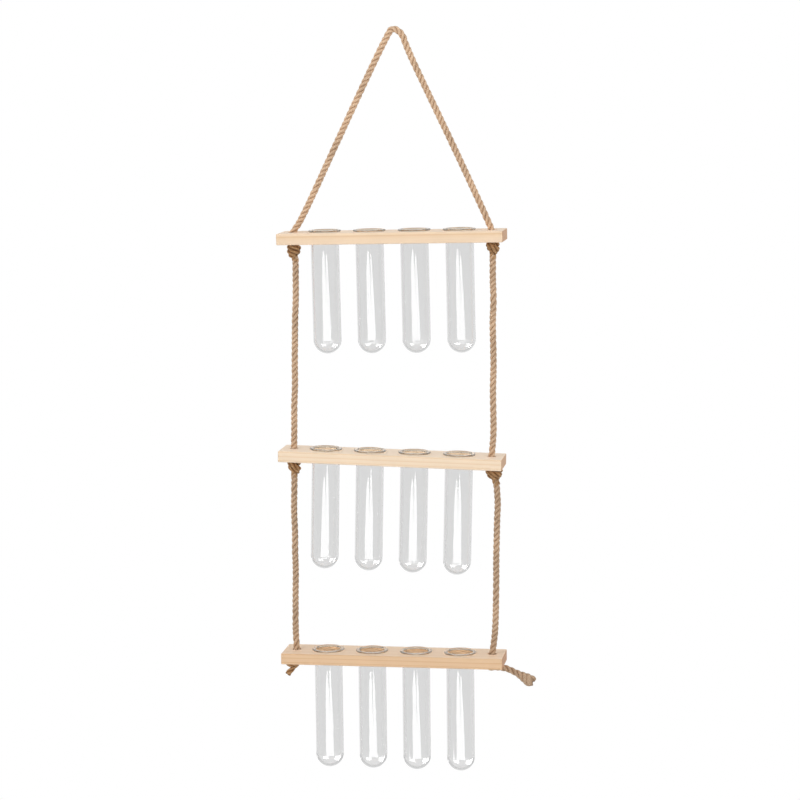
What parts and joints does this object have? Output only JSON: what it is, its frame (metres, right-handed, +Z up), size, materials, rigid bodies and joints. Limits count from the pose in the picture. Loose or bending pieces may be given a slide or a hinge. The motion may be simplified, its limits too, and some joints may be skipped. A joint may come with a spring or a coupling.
{
  "type": "hanging test tube vase",
  "caption": "Hanging wall vase: pine slats strung one below another on a knotted jute rope, with round-bottomed glass test tubes hung by their rims in the slats' holes.",
  "frame": {"origin": "where a hook carries the rope, on the rope's underside at its top bend", "axes": "+Z up, +X to the right along the slats as seen from the front, -Y towards the viewer, +Y to the wall"},
  "size_m": [0.2314, 0.038, 0.6657],
  "materials": {
    "pine": "planed, unvarnished",
    "glass": "clear, fire-polished",
    "jute": "three-strand twisted rope"
  },
  "bodies": {
    "hanger": {"hanger_rope": "jute"},
    "top_slat": {"slat_top": "pine", "knot_top_left": "jute", "knot_top_right": "jute"},
    "upper_ropes": {"rope_upper_left": "jute", "rope_upper_right": "jute"},
    "middle_slat": {"slat_middle": "pine", "knot_middle_left": "jute", "knot_middle_right": "jute"},
    "lower_ropes": {"rope_lower_left": "jute", "rope_lower_right": "jute"},
    "bottom_slat": {"slat_bottom": "pine", "knot_bottom_left": "jute", "knot_bottom_right": "jute", "tail_left": "jute", "tail_right": "jute"},
    "tube_top_1": {"tube_top_1": "glass"},
    "tube_top_2": {"tube_top_2": "glass"},
    "tube_top_3": {"tube_top_3": "glass"},
    "tube_top_4": {"tube_top_4": "glass"},
    "tube_middle_1": {"tube_middle_1": "glass"},
    "tube_middle_2": {"tube_middle_2": "glass"},
    "tube_middle_3": {"tube_middle_3": "glass"},
    "tube_middle_4": {"tube_middle_4": "glass"},
    "tube_bottom_1": {"tube_bottom_1": "glass"},
    "tube_bottom_2": {"tube_bottom_2": "glass"},
    "tube_bottom_3": {"tube_bottom_3": "glass"},
    "tube_bottom_4": {"tube_bottom_4": "glass"}
  },
  "joints": [
    {"name": "top_slat_rock", "type": "hinge", "parent": "hanger", "child": "top_slat", "pos_m": [-0.002, 0, -0.1725], "axis": [0.9997, 0, 0.0244], "range_deg": [-20, 20]},
    {"name": "upper_ropes_swing", "type": "hinge", "parent": "top_slat", "child": "upper_ropes", "pos_m": [-0.00139, 0, -0.19729], "axis": [0.9997, 0, 0.0244], "range_deg": [-25, 25]},
    {"name": "middle_slat_rock", "type": "hinge", "parent": "upper_ropes", "child": "middle_slat", "pos_m": [-0.0015, 0, -0.3695], "axis": [0.9999, 0, -0.0157], "range_deg": [-20, 20]},
    {"name": "lower_ropes_swing", "type": "hinge", "parent": "middle_slat", "child": "lower_ropes", "pos_m": [-0.00189, 0, -0.3943], "axis": [0.9999, 0, -0.0157], "range_deg": [-25, 25]},
    {"name": "bottom_slat_rock", "type": "hinge", "parent": "lower_ropes", "child": "bottom_slat", "pos_m": [0, 0, -0.551], "axis": [0.9999, 0, 0.0122], "range_deg": [-20, 20]},
    {"name": "tube_top_1_lift", "type": "slide", "parent": "top_slat", "child": "tube_top_1", "axis": [-0.0244, 0, 0.9997], "range_m": [0, 0.015]},
    {"name": "tube_top_2_lift", "type": "slide", "parent": "top_slat", "child": "tube_top_2", "axis": [-0.0244, 0, 0.9997], "range_m": [0, 0.085]},
    {"name": "tube_top_3_lift", "type": "slide", "parent": "top_slat", "child": "tube_top_3", "axis": [-0.0244, 0, 0.9997], "range_m": [0, 0.085]},
    {"name": "tube_top_4_lift", "type": "slide", "parent": "top_slat", "child": "tube_top_4", "axis": [-0.0244, 0, 0.9997], "range_m": [0, 0.015]},
    {"name": "tube_middle_1_lift", "type": "slide", "parent": "middle_slat", "child": "tube_middle_1", "axis": [0.0157, 0, 0.9999], "range_m": [0, 0.078]},
    {"name": "tube_middle_2_lift", "type": "slide", "parent": "middle_slat", "child": "tube_middle_2", "axis": [0.0157, 0, 0.9999], "range_m": [0, 0.078]},
    {"name": "tube_middle_3_lift", "type": "slide", "parent": "middle_slat", "child": "tube_middle_3", "axis": [0.0157, 0, 0.9999], "range_m": [0, 0.078]},
    {"name": "tube_middle_4_lift", "type": "slide", "parent": "middle_slat", "child": "tube_middle_4", "axis": [0.0157, 0, 0.9999], "range_m": [0, 0.078]},
    {"name": "tube_bottom_1_lift", "type": "slide", "parent": "bottom_slat", "child": "tube_bottom_1", "axis": [-0.0122, 0, 0.9999], "range_m": [0, 0.062]},
    {"name": "tube_bottom_2_lift", "type": "slide", "parent": "bottom_slat", "child": "tube_bottom_2", "axis": [-0.0122, 0, 0.9999], "range_m": [0, 0.062]},
    {"name": "tube_bottom_3_lift", "type": "slide", "parent": "bottom_slat", "child": "tube_bottom_3", "axis": [-0.0122, 0, 0.9999], "range_m": [0, 0.062]},
    {"name": "tube_bottom_4_lift", "type": "slide", "parent": "bottom_slat", "child": "tube_bottom_4", "axis": [-0.0122, 0, 0.9999], "range_m": [0, 0.062]}
  ]
}
